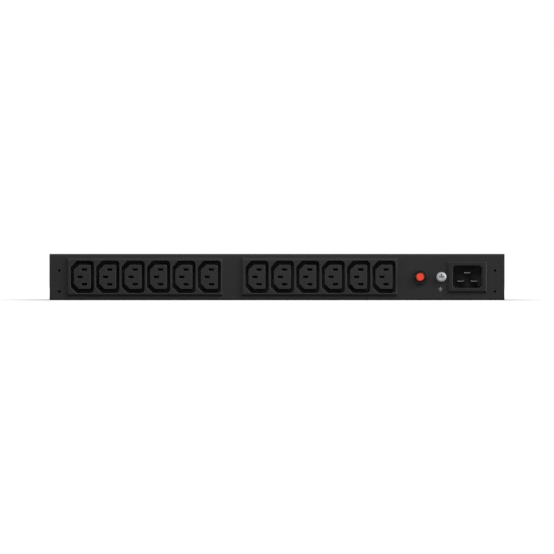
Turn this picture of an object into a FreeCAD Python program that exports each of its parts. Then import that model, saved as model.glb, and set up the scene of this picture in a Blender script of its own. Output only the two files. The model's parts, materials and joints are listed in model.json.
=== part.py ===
# One-rack-unit power distribution unit: a folded steel case with two six-way outlet blocks,
# a push-to-reset breaker, an earth screw and a mains inlet on its front face.
# Millimetres, +Z up, front face towards -Y, origin in the middle of the face that it stands on.
import FreeCAD
import Part
import math
import os

V = FreeCAD.Vector

# Case, two pieces folded from sheet steel
chassis_width = 433.0
chassis_height = 44.0
chassis_depth = 44.0
sheet = 1.2
bend_radius = 0.6
seam_gap = 0.2
lip_depth = 12.0
corner_relief = 1.5

# Tapped holes in the front for the rack brackets
bracket_hole_inset = 9.3
bracket_hole_low = 8.0
bracket_hole_pitch = 20.0
bracket_hole_radius = 1.25

# Countersunk screws along the underside that hold the rear cover
cover_screw_count = 2
cover_screw_span = 300.0
cover_screw_setback = 6.5
cover_screw_radius = 1.5
cover_screw_length = 5.0
thread_gap = 0.05

# Places of the fittings along the front: bezels from the case's two ends, the others from its right end
left_bezel_inset = 16.775
right_bezel_inset = 102.125
least_bezel_gap = 12.0
breaker_inset = 80.5
ground_inset = 60.2
inlet_inset = 35.5

# Outlet blocks: recesses, each round a slotted core on a base of its own
outlet_pitch = 24.15
recess_width = 21.9
recess_height = 30.6
recess_cut_corner = 5.7
recess_round_corner = 3.4
recess_depth = 17.0
recess_rim = 0.5
core_base = 2.0
core_base_gap = 0.25
core_width = 16.2
core_height = 23.2
core_cut_corner = 5.0
core_far_corner = 1.3
core_edge = 0.45
pin_pitch = 14.0
earth_pin_step = 4.0
slot_width = 5.0
slot_height = 2.4
slot_lead_in = 0.35
slot_depth = 7.0

# Outlet blocks: bezel, body behind the panel and rear tray
bezel_proud = 2.4
bezel_rise = 1.9
bezel_slope = 2.1
bezel_end_slope = 1.0
bezel_margin_earth_side = 3.6
bezel_margin_far_side = 1.75
bezel_margin_top = 3.0
body_wall = 1.0
fit_gap = 0.15
latch_width = 9.0
latch_height = 0.9
latch_length = 4.0
tray_depth = 5.0
tray_wall = 1.2
rib_thickness = 1.0

# Brass bus strips with fork contacts
strip_thickness = 0.8
strip_height = 5.0
tab_length = 5.5
tine_thickness = 0.5
tine_mouth = 1.8
tine_root = 2.8
contact_gap = 0.3

# Mains inlet
inlet_flange_width = 37.1
inlet_flange_height = 29.0
inlet_flange_proud = 2.0
inlet_flange_edge = 1.0
inlet_recess_width = 27.4
inlet_recess_height = 20.8
inlet_recess_corner = 3.0
inlet_recess_depth = 17.5
inlet_rim = 0.9
inlet_wall = 1.6
inlet_base = 9.7
inlet_pin_pitch = 13.0
inlet_earth_step = 8.0
inlet_pin_width = 6.4
inlet_pin_thickness = 2.0
inlet_pin_setback = 3.2
inlet_earth_lead = 1.0
inlet_pin_point = 0.6
solder_tab_width = 6.3
solder_tab_thickness = 0.8
solder_tab_length = 7.0

# Breaker
breaker_body_width = 14.0
breaker_body_height = 28.0
breaker_body_depth = 24.0
breaker_tab_pitch = 11.0
breaker_tab_shift = 1.5
neck_radius = 5.8
neck_length = 2.8
nut_flats = 13.6
nut_height = 2.2
button_radius = 4.6
button_gap = 0.3
button_proud = 1.2
button_edge = 0.7
button_collar_step = 0.8
button_collar_length = 1.6
button_trip_travel = 4.5
button_press_travel = 0.8
travel_gap = 0.1
chamber_front_wall = 2.0

# Earth screw and what is clamped under its nut
ground_head_radius = 4.7
ground_head_height = 3.2
ground_head_slope = 1.3
ground_screw_radius = 2.45
ground_hole_gap = 0.15
cross_width = 1.3
cross_length = 5.4
cross_depth = 1.9
lug_thickness = 0.8
lug_half_width = 4.3
lug_cut_corner = 2.6
lug_reach = 7.6
lug_crimp_width = 3.8
lug_crimp_length = 6.0
ground_nut_flats = 8.0
ground_nut_height = 4.0
ground_screw_tail = 1.5

# Wires and the insulated push-on terminals at their ends
wire_radius = 1.7
wire_gap = 0.5
wire_lead = 2.5
straight_on = 0.001
boot_wall = 1.0
boot_thickness = 4.4
boot_length = 8.0
boot_fit = 0.1

# Values that follow from the sizes above
front_y = -chassis_depth / 2
back_y = chassis_depth / 2
mid_z = chassis_height / 2
right_end = chassis_width / 2
inner_top = chassis_height - sheet
cover_bottom = sheet + seam_gap
cover_top = chassis_height - sheet - seam_gap
outer_bend = bend_radius + sheet
bracket_hole_span = chassis_width - 2 * bracket_hole_inset
breaker_x = right_end - breaker_inset
ground_x = right_end - ground_inset
inlet_x = right_end - inlet_inset
recess_end = recess_depth - bezel_proud
body_back = recess_end + core_base
strip_back = body_back + strip_thickness
pin_row_x = earth_pin_step / 2
body_height = recess_height + 2 * body_wall
bezel_height = recess_height + 2 * bezel_margin_top
bezel_ends = bezel_margin_earth_side + recess_width + bezel_margin_far_side
bezel_room = (chassis_width - left_bezel_inset - right_bezel_inset - least_bezel_gap) / 2
outlet_count = 1 + int((bezel_room - bezel_ends) // outlet_pitch)
outlet_row_half = (outlet_count - 1) * outlet_pitch / 2
outlet_row_end = outlet_row_half + recess_width / 2
left_outlets_x = left_bezel_inset - right_end + bezel_margin_earth_side + outlet_row_end
right_outlets_x = right_end - right_bezel_inset - bezel_margin_far_side - outlet_row_end
body_end = outlet_row_end + body_wall
tine_width = slot_width - 2 * contact_gap
chamber_height = tine_root + 2 * tine_thickness + 2 * contact_gap
inlet_back = inlet_recess_depth - inlet_flange_proud + inlet_base
inlet_body_width = inlet_recess_width + 2 * inlet_wall
inlet_body_height = inlet_recess_height + 2 * inlet_wall
breaker_back = sheet + breaker_body_depth
neck_bore = button_radius + button_gap
collar_half = button_radius + button_collar_step
chamber_start = sheet + chamber_front_wall
collar_front = chamber_start + button_trip_travel + travel_gap
chamber_end = collar_front + button_collar_length + button_press_travel + travel_gap
far_wire_depth = chassis_depth - sheet - wire_gap - wire_radius
near_wire_depth = far_wire_depth - 2 * wire_radius - wire_gap
strip_middle = (body_back + strip_back) / 2


def depth(distance):
    """Y of a plane that lies this far behind the front face."""
    return front_y + distance


def rounded_wire(points, radii):
    """Closed outline of straight runs through the points, joined by tangent arcs of the given radii."""
    count = len(points)
    entries = list(points)
    exits = list(points)
    middles = [None] * count
    for i, corner in enumerate(points):
        if radii[i] == 0:
            continue
        back = (points[i - 1] - corner).normalize()
        ahead = (points[(i + 1) % count] - corner).normalize()
        half = back.getAngle(ahead) / 2
        tangent = radii[i] / math.tan(half)
        entries[i] = corner + back * tangent
        exits[i] = corner + ahead * tangent
        middles[i] = corner + (back + ahead).normalize() * (radii[i] / math.sin(half) - radii[i])
    edges = []
    for i in range(count):
        if middles[i] is not None:
            edges.append(Part.Arc(entries[i], middles[i], exits[i]).toShape())
        edges.append(Part.LineSegment(exits[i], entries[(i + 1) % count]).toShape())
    return Part.Wire(edges)


def flat_outline(points):
    """Face inside a closed outline of straight runs."""
    return Part.Face(rounded_wire(points, [0] * len(points)))


def front_outline(points, radii, centre_x, distance):
    """Closed outline of (x, z) points about a fitting's centre, in a plane behind the front."""
    placed = [V(centre_x + x, depth(distance), mid_z + z) for x, z in points]
    return rounded_wire(placed, radii)


def rounded_rectangle(width, height, radius, centre_x, distance):
    """Rectangle with four rounded corners, facing the front."""
    x = width / 2
    z = height / 2
    return front_outline([(-x, -z), (x, -z), (x, z), (-x, z)], [radius] * 4, centre_x, distance)


def socket_outline(width, height, cut, grow, centre_x, distance, far_radius=0.0, far_cut=0.0):
    """Outline of an outlet, grown all round: cut corners on its earth side, round or cut far ones."""
    spread = grow * (2 - math.sqrt(2))
    left = -width / 2 - grow
    right = width / 2 + grow
    high = height / 2 + grow
    leg = cut + spread
    lower = [(left, leg - high), (left + leg, -high)]
    upper = [(left + leg, high), (left, high - leg)]
    if far_cut > 0:
        far = far_cut + spread
        lower += [(right - far, -high), (right, far - high)]
        upper = [(right, high - far), (right - far, high)] + upper
        radii = [0] * 8
    else:
        lower += [(right, -high)]
        upper = [(right, high)] + upper
        radii = [0, 0, far_radius + grow, far_radius + grow, 0, 0]
    return front_outline(lower + upper, radii, centre_x, distance)


def run_back(wire, length):
    """Solid from a closed outline, run straight back from the front."""
    return Part.Face(wire).extrude(V(0, length, 0))


def taper(first, second):
    """Solid with straight sides between two outlines of the same make."""
    return Part.makeLoft([first, second], True, True)


def block(x_range, depth_range, z_range):
    """Plain block between three pairs of limits, depth counted from the front face."""
    corner = V(x_range[0], depth(depth_range[0]), z_range[0])
    size_x = x_range[1] - x_range[0]
    size_y = depth_range[1] - depth_range[0]
    size_z = z_range[1] - z_range[0]
    return Part.makeBox(size_x, size_y, size_z, corner)


def around(middle, half):
    """Pair of limits this far to either side of a middle."""
    return middle - half, middle + half


def frustum(x, z, first_size, first_depth, second_size, second_depth):
    """Solid between two rectangles of (width, height) that face the front, one behind the other."""
    x_first = around(x, first_size[0] / 2)
    z_first = around(z, first_size[1] / 2)
    x_second = around(x, second_size[0] / 2)
    z_second = around(z, second_size[1] / 2)
    return Part.makeWedge(
        x_first[0], depth(first_depth), z_first[0], z_second[0], x_second[0],
        x_first[1], depth(second_depth), z_first[1], z_second[1], x_second[1],
    )


def rod(radius, x, depth_range, z):
    """Cylinder along Y between two depths."""
    length = depth_range[1] - depth_range[0]
    return Part.makeCylinder(radius, length, V(x, depth(depth_range[0]), z), V(0, 1, 0))


def turned(profile, x):
    """Solid turned about a line along Y, from (radius, depth) points."""
    points = [V(x + radius, depth(distance), mid_z) for radius, distance in profile]
    return flat_outline(points).revolve(V(x, 0, mid_z), V(0, 1, 0), 360)


def hexagon_nut(flats, bore_radius, x, depth_range):
    """Hexagon nut with two flats level, on a thread along Y."""
    start, end = depth_range
    corner = flats / math.sqrt(3)
    turns = [math.radians(60 * i) for i in range(6)]
    points = [(corner * math.cos(a), corner * math.sin(a)) for a in turns]
    nut = run_back(front_outline(points, [0] * 6, x, start), end - start)
    return nut.cut(rod(bore_radius, x, depth_range, mid_z))


def fused(first, others):
    """One clean solid from several that touch or overlap."""
    return first.fuse(others).removeSplitter()


def bracket_hole_places():
    """X and Z of the four tapped bracket holes."""
    half = bracket_hole_span / 2
    heights = (bracket_hole_low, bracket_hole_low + bracket_hole_pitch)
    return [(x, z) for x in (-half, half) for z in heights]


def cover_screws(clearance):
    """Countersunk screws up through the lower flange, or the room that they need."""
    step = cover_screw_span / (cover_screw_count - 1)
    y = depth(chassis_depth - cover_screw_setback)
    shank = cover_screw_radius + clearance
    screws = []
    for i in range(cover_screw_count):
        start = V(i * step - cover_screw_span / 2, y, 0)
        cone = Part.makeCone(shank + sheet, shank, sheet, start, V(0, 0, 1))
        stem = Part.makeCylinder(shank, cover_screw_length, start, V(0, 0, 1))
        screws.append(fused(cone, [stem]))
    return screws


def outlet_body(block_x, grow, depth_range):
    """The part of an outlet block that goes through the panel, or the room that it needs."""
    x_range = around(block_x, body_end + grow)
    return block(x_range, depth_range, around(mid_z, body_height / 2 + grow))


def inlet_shell(grow, depth_range):
    """The part of the inlet that goes through the panel, or the room that it needs."""
    x_range = around(inlet_x, inlet_body_width / 2 + grow)
    return block(x_range, depth_range, around(mid_z, inlet_body_height / 2 + grow))


def make_chassis_channel():
    """Front panel with its top and bottom flanges, one folded channel with every cut-out."""
    inner_front = depth(sheet)
    section = [
        (back_y, 0.0), (front_y, 0.0), (front_y, chassis_height), (back_y, chassis_height),
        (back_y, inner_top), (inner_front, inner_top), (inner_front, sheet), (back_y, sheet),
    ]
    radii = [0, outer_bend, outer_bend, 0, 0, bend_radius, bend_radius, 0]
    points = [V(-right_end, y, z) for y, z in section]
    channel = Part.Face(rounded_wire(points, radii)).extrude(V(chassis_width, 0, 0))
    panel = (0, sheet)
    cuts = [rod(bracket_hole_radius, x, panel, z) for x, z in bracket_hole_places()]
    cuts += [outlet_body(x, fit_gap, panel) for x in (left_outlets_x, right_outlets_x)]
    cuts.append(inlet_shell(fit_gap, panel))
    cuts.append(rod(neck_radius + fit_gap, breaker_x, panel, mid_z))
    cuts.append(rod(ground_screw_radius + ground_hole_gap, ground_x, panel, mid_z))
    return channel.cut(cuts + cover_screws(thread_gap))


def make_rear_cover():
    """Back wall with two long lips and two end cheeks, folded from one sheet."""
    lip_end = right_end - outer_bend - corner_relief
    lip_front = depth(chassis_depth - lip_depth)
    inner_back = depth(chassis_depth - sheet)
    section = [
        (lip_front, cover_bottom), (back_y, cover_bottom), (back_y, cover_top), (lip_front, cover_top),
        (lip_front, cover_top - sheet), (inner_back, cover_top - sheet),
        (inner_back, cover_bottom + sheet), (lip_front, cover_bottom + sheet),
    ]
    radii = [0, outer_bend, outer_bend, 0, 0, bend_radius, bend_radius, 0]
    points = [V(-lip_end, y, z) for y, z in section]
    cover = Part.Face(rounded_wire(points, radii)).extrude(V(2 * lip_end, 0, 0))
    cheek_front = depth(sheet + seam_gap)
    cheeks = []
    for side in (-1, 1):
        outer = side * right_end
        inner = side * (right_end - sheet)
        plan = [
            (side * lip_end, back_y), (outer, back_y), (outer, cheek_front),
            (inner, cheek_front), (inner, inner_back), (side * lip_end, inner_back),
        ]
        corners = [V(x, y, cover_bottom) for x, y in plan]
        face = Part.Face(rounded_wire(corners, [0, outer_bend, 0, 0, bend_radius, 0]))
        cheeks.append(face.extrude(V(0, 0, cover_top - cover_bottom)))
    return fused(cover, cheeks).cut(cover_screws(thread_gap))


def outlet_centres(block_x):
    """X of each outlet of one block, from left to right."""
    return [block_x - outlet_row_half + i * outlet_pitch for i in range(outlet_count)]


def contact_rows():
    """Offset from the outlet's middle and height of each conductor's row of contacts."""
    return {
        "line": (pin_row_x, pin_pitch / 2),
        "neutral": (pin_row_x, -pin_pitch / 2),
        "earth": (-pin_row_x, 0.0),
    }


def outlet_recess(x):
    """Keyed recess of one outlet, right through the front moulding, with a bevelled rim."""
    face = -bezel_proud

    def well(grow, distance):
        size = (recess_width, recess_height, recess_cut_corner)
        return socket_outline(*size, grow, x, distance, far_radius=recess_round_corner)

    hollow = run_back(well(0, face), recess_depth)
    rim = taper(well(recess_rim, face), well(0, face + recess_rim))
    return hollow.fuse(rim)


def slot_and_chamber(x, z):
    """Pin slot with its lead-in, and the higher chamber behind it for the contact."""
    face = -bezel_proud
    narrow = (slot_width, slot_height)
    wide = (slot_width + 2 * slot_lead_in, slot_height + 2 * slot_lead_in)
    lead_in = frustum(x, z, wide, face, narrow, face + slot_lead_in)
    x_range = around(x, slot_width / 2)
    slot = block(x_range, (face, face + slot_depth), around(z, slot_height / 2))
    chamber = block(x_range, (face + slot_depth, body_back), around(z, chamber_height / 2))
    return fused(slot, [lead_in, chamber])


def latch(x, half_height, side):
    """Wedge on the top or bottom of a moulding that snaps behind the panel."""
    edge = mid_z + side * (half_height - fit_gap)
    tip = mid_z + side * (half_height + latch_height)
    start = sheet + thread_gap
    profile = [(start, edge), (start, tip), (start + latch_length, edge)]
    points = [V(x - latch_width / 2, depth(d), z) for d, z in profile]
    return flat_outline(points).extrude(V(latch_width, 0, 0))


def make_outlet_face(block_x):
    """Front moulding of one outlet block: sloped bezel, the walls round its recesses, and latches."""
    length = 2 * outlet_row_half + bezel_ends
    middle = block_x + (bezel_margin_far_side - bezel_margin_earth_side) / 2
    skirt = bezel_rise - bezel_proud
    foot = (length, bezel_height)
    top = (length - 2 * bezel_end_slope, bezel_height - 2 * bezel_slope)
    slopes = frustum(middle, mid_z, top, -bezel_proud, foot, skirt)
    edge = frustum(middle, mid_z, foot, skirt, foot, 0)
    centres = outlet_centres(block_x)
    latch_places = (centres[0], centres[-1])
    latches = [latch(x, body_height / 2, side) for x in latch_places for side in (-1, 1)]
    moulding = fused(slopes, [edge, outlet_body(block_x, 0, (0, recess_end))] + latches)
    return moulding.cut([outlet_recess(x) for x in centres])


def make_outlet_core(x):
    """Slotted core of one outlet, on the base that closes its recess from behind."""
    face = -bezel_proud

    def core(grow, distance):
        size = (core_width, core_height, core_cut_corner)
        return socket_outline(*size, grow, x, distance, far_cut=core_far_corner)

    crown = taper(core(-core_edge, face), core(0, face + core_edge))
    post = run_back(core(0, face + core_edge), recess_depth - core_edge)
    base_half = (outlet_pitch - core_base_gap) / 2
    base = block(around(x, base_half), (recess_end, body_back), around(mid_z, body_height / 2))
    slots = [slot_and_chamber(x + offset, mid_z + height) for offset, height in contact_rows().values()]
    return fused(crown, [post, base]).cut(slots)


def make_outlet_back(block_x, open_ends):
    """Insulating tray over the back of a block, ribbed between the strips and notched for them."""
    inner_end = body_back + tray_depth - tray_wall
    tray = outlet_body(block_x, 0, (body_back, body_back + tray_depth))
    tray = tray.cut(outlet_body(block_x, -tray_wall, (body_back, inner_end)))
    inside = around(block_x, body_end - tray_wall)
    heights = sorted(height for _, height in contact_rows().values())
    ribs = []
    for low, high in zip(heights, heights[1:]):
        middle = mid_z + (low + high) / 2
        ribs.append(block(inside, (body_back, inner_end), around(middle, rib_thickness / 2)))
    tray = fused(tray, ribs)
    notches = []
    for side in open_ends:
        wall = sorted((block_x + side * body_end, block_x + side * (body_end - tray_wall)))
        for height in heights:
            z_range = around(mid_z + height, strip_height / 2 + fit_gap)
            notches.append(block(wall, (body_back, strip_back + fit_gap), z_range))
    return tray.cut(notches)


def fork_contact(x, z):
    """Sprung fork that grips a pin: two tines that close towards the slot."""
    tip = slot_depth - bezel_proud + contact_gap
    tines = []
    for side in (-1, 1):
        root = z + side * tine_root / 2
        mouth = z + side * tine_mouth / 2
        thick = side * tine_thickness
        profile = [(body_back, root), (tip, mouth), (tip, mouth + thick), (body_back, root + thick)]
        points = [V(x - tine_width / 2, depth(d), height) for d, height in profile]
        tines.append(flat_outline(points).extrude(V(tine_width, 0, 0)))
    return tines


def make_bus_strip(name):
    """Brass strip behind both blocks, with a fork contact for each outlet and a tab at its right end."""
    offset, height = contact_rows()[name]
    left = left_outlets_x - body_end + tray_wall + contact_gap
    right = right_outlets_x + body_end + tab_length
    strip = block((left, right), (body_back, strip_back), around(mid_z + height, strip_height / 2))
    tines = []
    for x in outlet_centres(left_outlets_x) + outlet_centres(right_outlets_x):
        tines += fork_contact(x + offset, mid_z + height)
    return fused(strip, tines)


def inlet_pin_places():
    """X and Z of the inlet's line, neutral and earth pins."""
    low = mid_z - inlet_earth_step / 2
    return {
        "line": (inlet_x - inlet_pin_pitch / 2, low),
        "neutral": (inlet_x + inlet_pin_pitch / 2, low),
        "earth": (inlet_x, low + inlet_earth_step),
    }


def make_inlet_pin(name):
    """One inlet blade with its bevelled end and rear solder tab."""
    x, z = inlet_pin_places()[name]
    tip = inlet_pin_setback - inlet_flange_proud
    if name == "earth":
        tip -= inlet_earth_lead
    shoulder = tip + inlet_pin_point
    bevel = 2 * inlet_pin_point
    full = (inlet_pin_width, inlet_pin_thickness)
    point = frustum(x, z, (full[0] - bevel, full[1] - bevel), tip, full, shoulder)
    blade = frustum(x, z, full, shoulder, full, inlet_back)
    return fused(point, [blade, solder_tab(x, inlet_back, z)])


def solder_tab(x, start, z):
    """Flat terminal that runs back from a fitting."""
    size = (solder_tab_width, solder_tab_thickness)
    return frustum(x, z, size, start, size, start + solder_tab_length)


def make_inlet_body():
    """Inlet moulding: bevelled flange, rounded recess with a rim, base round the pins, and latches."""
    face = -inlet_flange_proud
    shoulder = face + inlet_flange_edge
    foot = (inlet_flange_width, inlet_flange_height)
    top = (foot[0] - 2 * inlet_flange_edge, foot[1] - 2 * inlet_flange_edge)
    moulding = fused(frustum(inlet_x, mid_z, top, face, foot, shoulder), [
        frustum(inlet_x, mid_z, foot, shoulder, foot, 0),
        inlet_shell(0, (0, inlet_back)),
        latch(inlet_x, inlet_body_height / 2, -1),
        latch(inlet_x, inlet_body_height / 2, 1),
    ])

    def recess(grow, distance):
        width = inlet_recess_width + 2 * grow
        height = inlet_recess_height + 2 * grow
        return rounded_rectangle(width, height, inlet_recess_corner + grow, inlet_x, distance)

    hollow = run_back(recess(0, face), inlet_recess_depth)
    rim = taper(recess(inlet_rim, face), recess(0, face + inlet_rim))
    return moulding.cut([hollow, rim] + [make_inlet_pin(name) for name in inlet_pin_places()])


def make_breaker_body():
    """Breaker housing with a neck through the panel and a stepped bore for the button."""
    x_range = around(breaker_x, breaker_body_width / 2)
    housing = block(x_range, (sheet, breaker_back), around(mid_z, breaker_body_height / 2))
    neck = rod(neck_radius, breaker_x, (-neck_length, sheet), mid_z)
    bore = rod(neck_bore, breaker_x, (-neck_length, chamber_start), mid_z)
    half = collar_half + button_gap
    chamber = block(around(breaker_x, half), (chamber_start, chamber_end), around(mid_z, half))
    return fused(housing, [neck]).cut([bore, chamber])


def make_breaker_nut():
    """Thin hexagon nut that clamps the breaker to the panel."""
    return hexagon_nut(nut_flats, neck_radius + thread_gap, breaker_x, (-nut_height, 0))


def make_breaker_button():
    """Reset button with a bevelled front edge and the square collar that stops its travel."""
    tip = -neck_length - button_proud
    profile = [
        (0, tip), (button_radius - button_edge, tip), (button_radius, tip + button_edge),
        (button_radius, collar_front), (0, collar_front),
    ]
    collar_depth = (collar_front, collar_front + button_collar_length)
    collar = block(around(breaker_x, collar_half), collar_depth, around(mid_z, collar_half))
    return fused(turned(profile, breaker_x), [collar])


def breaker_tab_place(side):
    """X and Z of the breaker's lower or upper terminal."""
    return breaker_x, mid_z + breaker_tab_shift + side * breaker_tab_pitch / 2


def make_breaker_terminal(side):
    """One flat terminal on the back of the breaker."""
    x, z = breaker_tab_place(side)
    return solder_tab(x, breaker_back, z)


def lug_direction(side):
    """Unit step from the earth screw to the crimp of a lug, level with the inlet's earth pin."""
    rise = inlet_earth_step / 2 / lug_reach
    return V(side * math.sqrt(1 - rise * rise), 0, rise)


def lug_start(layer):
    """Depth of the front of the first or second lug behind the panel."""
    return sheet + layer * lug_thickness


def make_earth_lug(side, layer):
    """Ring lug under the nut of the earth screw, with its crimp turned back."""
    start = lug_start(layer)
    span = (start, start + lug_thickness)
    along = lug_direction(side)
    across = V(-along.z, 0, along.x)
    inner = lug_half_width - lug_cut_corner
    half_outline = [
        (-lug_half_width, inner), (-inner, lug_half_width),
        (inner, lug_half_width), (lug_reach + lug_crimp_width / 2, lug_crimp_width / 2),
    ]
    outline = half_outline + [(u, -v) for u, v in reversed(half_outline)]
    centre = V(ground_x, depth(start), mid_z)
    face = flat_outline([centre + along * u + across * v for u, v in outline])
    plate = face.extrude(V(0, lug_thickness, 0))
    crimp_middle = centre + along * lug_reach
    size = (lug_crimp_width, lug_crimp_width)
    crimp = frustum(crimp_middle.x, crimp_middle.z, size, span[1], size, span[1] + lug_crimp_length)
    return fused(plate, [crimp]).cut(rod(ground_screw_radius + ground_hole_gap, ground_x, span, mid_z))


def make_ground_nut():
    """Hexagon nut on the earth screw."""
    start = lug_start(2)
    span = (start, start + ground_nut_height)
    return hexagon_nut(ground_nut_flats, ground_screw_radius + thread_gap, ground_x, span)


def make_ground_screw():
    """Pan-head earth screw with a cross recess."""
    face = -ground_head_height
    end = lug_start(2) + ground_nut_height + ground_screw_tail
    profile = [
        (0, face), (ground_head_radius - ground_head_slope, face),
        (ground_head_radius, face + ground_head_slope), (ground_head_radius, 0),
        (ground_screw_radius, 0), (ground_screw_radius, end), (0, end),
    ]
    cross = []
    for mouth in ((cross_width, cross_length), (cross_length, cross_width)):
        foot = (mouth[0] / 2, mouth[1] / 2)
        cross.append(frustum(ground_x, mid_z, mouth, face, foot, face + cross_depth))
    return turned(profile, ground_x).cut(cross)


def tab_boot(place, start):
    """Insulated push-on terminal over a solder tab."""
    x, z = place
    half_x = solder_tab_width / 2 + boot_wall
    boot = block(around(x, half_x), (start + wire_gap, boot_end(start)), around(z, boot_thickness / 2))
    slot = block(
        around(x, solder_tab_width / 2 + boot_fit),
        (start + wire_gap, start + solder_tab_length + boot_fit),
        around(z, solder_tab_thickness / 2 + boot_fit),
    )
    return boot.cut(slot)


def boot_end(start):
    """Depth of the back of a push-on terminal on a tab that starts at this depth."""
    return start + wire_gap + boot_length


def strip_boot(name):
    """Insulated push-on terminal over the end tab of a bus strip."""
    height = contact_rows()[name][1]
    tab_start = right_outlets_x + body_end
    boot = block(
        (tab_start + wire_gap, tab_start + wire_gap + boot_length),
        around(strip_middle, boot_thickness / 2),
        around(mid_z + height, strip_height / 2 + boot_wall),
    )
    slot = block(
        (tab_start + wire_gap, tab_start + tab_length + boot_fit),
        around(strip_middle, strip_thickness / 2 + boot_fit),
        around(mid_z + height, strip_height / 2 + boot_fit),
    )
    return boot.cut(slot)


def make_terminal_boots():
    """All the push-on terminals, one on each tab."""
    boots = [tab_boot(place, inlet_back) for place in inlet_pin_places().values()]
    boots += [tab_boot(breaker_tab_place(side), breaker_back) for side in (-1, 1)]
    boots += [strip_boot(name) for name in contact_rows()]
    return Part.makeCompound(boots)


def strip_wire_end(name):
    """Point where a wire meets the back of the push-on terminal of a bus strip."""
    x = right_outlets_x + body_end + wire_gap + boot_length / 2
    return V(x, depth(strip_middle + boot_thickness / 2), mid_z + contact_rows()[name][1])


def tab_wire_end(place, start, side):
    """Point where a wire meets the left or right side of the push-on terminal on a solder tab."""
    x, z = place
    middle = start + wire_gap + boot_length / 2
    return V(x + side * (solder_tab_width / 2 + boot_wall), depth(middle), z)


def lug_wire_end(side, layer):
    """Point on the end of the crimp of a lug."""
    step = lug_direction(side) * lug_reach
    y = depth(lug_start(layer + 1) + lug_crimp_length)
    return V(ground_x + step.x, y, mid_z + step.z)


def make_wire(route):
    """Insulated wire along a route, with square bends."""
    corners = [route[0]]
    for before, corner, after in zip(route, route[1:], route[2:]):
        if (corner - before).getAngle(after - corner) > straight_on:
            corners.append(corner)
    corners.append(route[-1])
    rim = Part.Wire(Part.makeCircle(wire_radius, route[0], route[1] - route[0]))
    mitred = 1
    return Part.makePolygon(corners).makePipeShell([rim], True, False, mitred)


def make_line_feed():
    """Inlet line pin to the breaker's lower terminal."""
    start = tab_wire_end(inlet_pin_places()["line"], inlet_back, -1)
    end = tab_wire_end(breaker_tab_place(-1), breaker_back, 1)
    lead = V(wire_lead, 0, 0)
    return make_wire([start, start - lead, end + lead, end])


def make_line_load():
    """Breaker's upper terminal to the line strip."""
    start = tab_wire_end(breaker_tab_place(1), breaker_back, -1)
    end = strip_wire_end("line")
    return make_wire([start, start - V(wire_lead, 0, 0), V(end.x, start.y, end.z), end])


def make_neutral_feed():
    """Inlet neutral pin, across behind the other wires, to the neutral strip."""
    x, z = inlet_pin_places()["neutral"]
    end = strip_wire_end("neutral")
    far = depth(far_wire_depth)
    return make_wire([V(x, depth(boot_end(inlet_back)), z), V(x, far, z), V(end.x, far, end.z), end])


def make_earth_feed():
    """Earth screw to the inlet's earth pin."""
    start = lug_wire_end(1, 0)
    end = tab_wire_end(inlet_pin_places()["earth"], inlet_back, -1)
    return make_wire([start, V(start.x, end.y, start.z), end - V(wire_lead, 0, 0), end])


def make_earth_bond():
    """Earth screw, across behind the breaker, to the earth strip."""
    start = lug_wire_end(-1, 1)
    end = strip_wire_end("earth")
    near = depth(near_wire_depth)
    return make_wire([start, V(start.x, near, start.z), V(end.x, near, end.z), end])


def make_parts():
    """Every piece by the name of its node."""
    parts = {
        "chassis_channel": make_chassis_channel(),
        "rear_cover": make_rear_cover(),
        "cover_screws": Part.makeCompound(cover_screws(0.0)),
        "outlet_face_left": make_outlet_face(left_outlets_x),
        "outlet_face_right": make_outlet_face(right_outlets_x),
        "outlet_back_left": make_outlet_back(left_outlets_x, (1,)),
        "outlet_back_right": make_outlet_back(right_outlets_x, (-1, 1)),
        "inlet_body": make_inlet_body(),
        "breaker_body": make_breaker_body(),
        "breaker_nut": make_breaker_nut(),
        "breaker_button": make_breaker_button(),
        "breaker_line_terminal": make_breaker_terminal(-1),
        "breaker_load_terminal": make_breaker_terminal(1),
        "ground_screw": make_ground_screw(),
        "ground_nut": make_ground_nut(),
        "earth_lug_inlet": make_earth_lug(1, 0),
        "earth_lug_outlets": make_earth_lug(-1, 1),
        "terminal_boots": make_terminal_boots(),
        "line_feed_wire": make_line_feed(),
        "line_load_wire": make_line_load(),
        "neutral_feed_wire": make_neutral_feed(),
        "earth_feed_wire": make_earth_feed(),
        "earth_bond_wire": make_earth_bond(),
    }
    for name in inlet_pin_places():
        parts["inlet_" + name + "_pin"] = make_inlet_pin(name)
    for name in contact_rows():
        parts[name + "_strip"] = make_bus_strip(name)
    outlets = outlet_centres(left_outlets_x) + outlet_centres(right_outlets_x)
    for number, x in enumerate(outlets, 1):
        parts["outlet_core_%02d" % number] = make_outlet_core(x)
    return parts


os.makedirs("parts", exist_ok=True)
for node, shape in make_parts().items():
    shape.exportStep("parts/" + node + ".step")
    print(node, "solids", len(shape.Solids), "valid", shape.isValid(), "volume", round(shape.Volume, 1))
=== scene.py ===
"""Looks of a one-rack-unit power distribution unit, dressed round its fixed parts.

The scene is in metres, and sizes are written as millimetres times MM. +X runs along the case towards
the mains inlet, the front looks towards -Y, and +Z is up.
"""

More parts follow.
